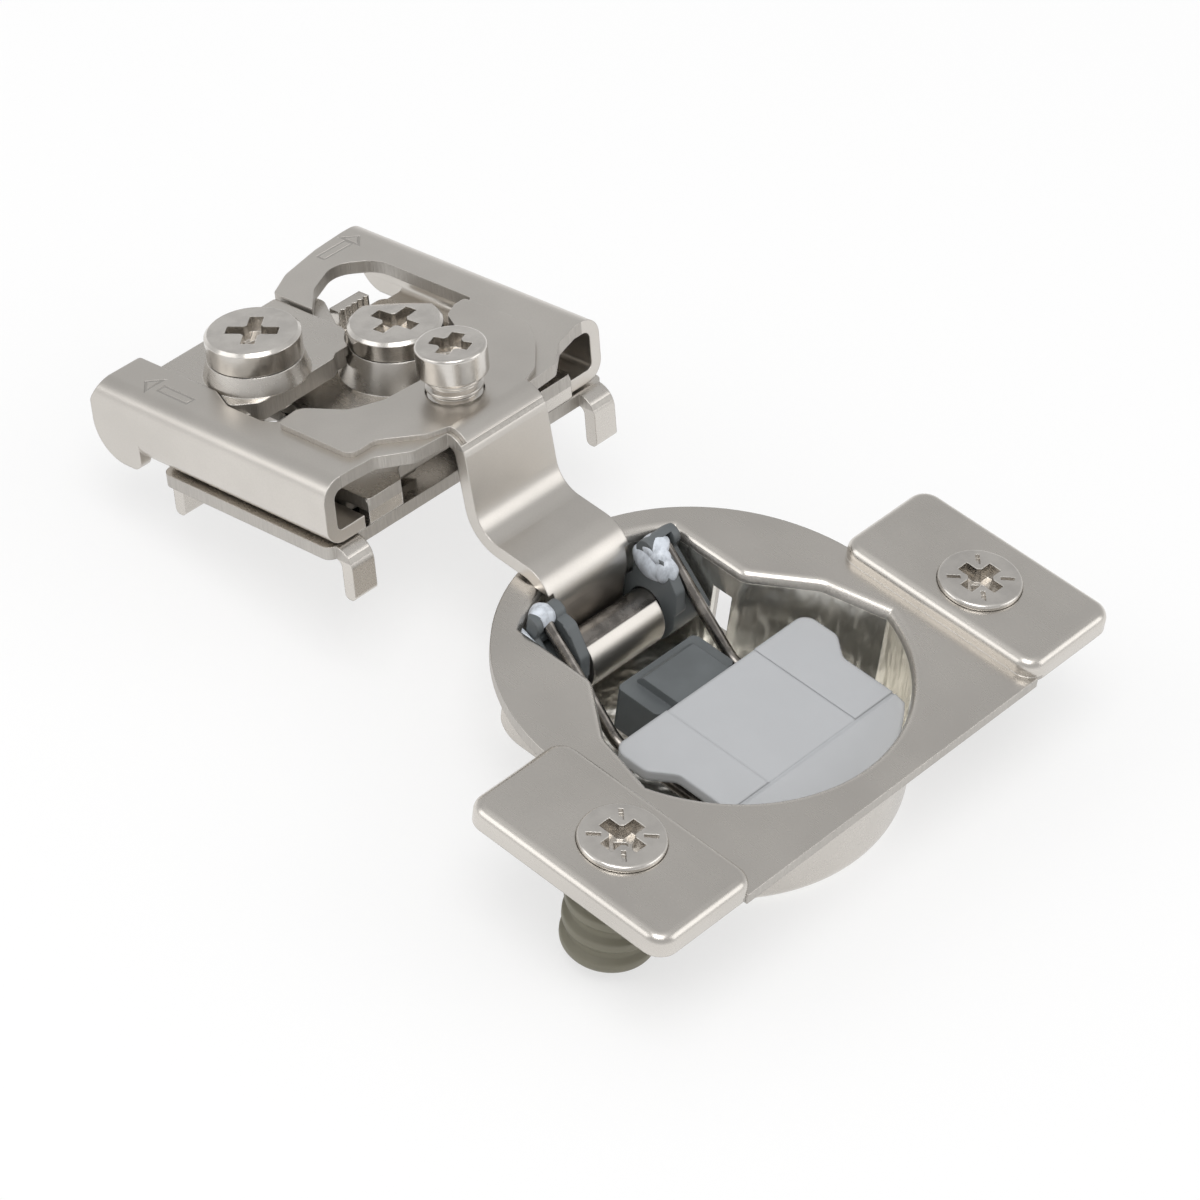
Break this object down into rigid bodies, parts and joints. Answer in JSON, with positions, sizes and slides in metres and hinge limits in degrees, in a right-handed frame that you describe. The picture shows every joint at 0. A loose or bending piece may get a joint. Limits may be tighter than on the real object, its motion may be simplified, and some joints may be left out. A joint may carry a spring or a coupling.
{
  "type": "concealed cup hinge",
  "caption": "Concealed cup hinge: pressed cup with screw pads and dowels, goose-neck arm with adjusting cams on a hooked base plate, and a built-in damper.",
  "frame": {"origin": "on the cup's axis, on the face of the door (underside of the flange)", "axes": "+Z out of the door, +Y from the cup to the cabinet frame, +X along the two screw pads"},
  "size_m": [0.0574, 0.0775, 0.0258],
  "materials": {
    "nickel_plated_steel": "satin nickel plate",
    "nickel_plated_screw": "bright nickel plate",
    "spring_steel": "smooth drawn wire",
    "light_grey_plastic": "light grey moulded",
    "dark_grey_plastic": "dark grey moulded",
    "olive_grey_plastic": "olive grey moulded"
  },
  "bodies": {
    "cup_body": {"cup": "nickel_plated_steel", "wing_screw_left": "nickel_plated_screw", "wing_screw_right": "nickel_plated_screw", "dowel_left": "olive_grey_plastic", "dowel_right": "olive_grey_plastic", "hinge_pin": "spring_steel", "damper_cover": "light_grey_plastic", "damper_housing": "dark_grey_plastic", "damper_cylinder": "dark_grey_plastic"},
    "spring_body": {"spring_wire": "spring_steel", "cam_lever_left": "dark_grey_plastic", "cam_lever_right": "dark_grey_plastic"},
    "slider_body": {"damper_slider": "dark_grey_plastic", "damper_rod": "spring_steel"},
    "arm_body": {"arm": "nickel_plated_steel", "inner_plate": "nickel_plated_steel"},
    "side_screw_body": {"side_screw": "nickel_plated_screw"},
    "carrier_body": {"tongue_plate": "nickel_plated_steel", "mid_plate": "nickel_plated_steel"},
    "depth_cam_body": {"depth_cam": "nickel_plated_screw"},
    "height_cam_body": {"height_cam": "nickel_plated_screw"},
    "slide_body": {"slide_plate": "nickel_plated_steel"},
    "base_body": {"base_plate": "nickel_plated_steel"}
  },
  "joints": [
    {"name": "arm_swing", "type": "hinge", "parent": "cup_body", "child": "arm_body", "pos_m": [0, 0.0121, -0.0048], "axis": [1, 0, 0], "range_deg": [0, 103]},
    {"name": "spring_rock", "type": "hinge", "parent": "cup_body", "child": "spring_body", "pos_m": [0, 0.0121, -0.0048], "axis": [1, 0, 0], "range_deg": [0, 3]},
    {"name": "damper_slide", "type": "slide", "parent": "cup_body", "child": "slider_body", "axis": [0, -1, 0], "range_m": [0, 0.003]},
    {"name": "side_screw_turn", "type": "hinge", "parent": "arm_body", "child": "side_screw_body", "pos_m": [0, 0.031, 0.0097], "axis": [0, 0.225, 0.9744], "range_deg": [0, 290]},
    {"name": "side_tilt", "type": "hinge", "parent": "arm_body", "child": "carrier_body", "pos_m": [0, 0.05507, 0.00281], "axis": [1, 0, 0], "range_deg": [0, 1.5]},
    {"name": "depth_cam_turn", "type": "hinge", "parent": "carrier_body", "child": "depth_cam_body", "pos_m": [-0.0069, 0.04756, 0.00588], "axis": [0, 0.225, 0.9744], "range_deg": [-60, 60]},
    {"name": "depth_slide", "type": "slide", "parent": "carrier_body", "child": "slide_body", "axis": [0, 0.9744, -0.225], "range_m": [-0.0015, 0.0015]},
    {"name": "height_cam_turn", "type": "hinge", "parent": "carrier_body", "child": "height_cam_body", "pos_m": [0.0047, 0.0424, 0.00707], "axis": [0, 0.225, 0.9744], "range_deg": [-60, 60]},
    {"name": "height_slide", "type": "slide", "parent": "slide_body", "child": "base_body", "axis": [1, 0, 0], "range_m": [-0.0015, 0.0015]}
  ],
  "couplings": [
    {"joint": "spring_rock", "follows": "arm_swing", "ratio": 0.029},
    {"joint": "damper_slide", "follows": "arm_swing", "m_per_rad": 0.00166},
    {"joint": "side_screw_turn", "follows": "side_tilt", "ratio": 193},
    {"joint": "depth_cam_turn", "follows": "depth_slide", "rad_per_m": -698},
    {"joint": "height_cam_turn", "follows": "height_slide", "rad_per_m": -698}
  ]
}
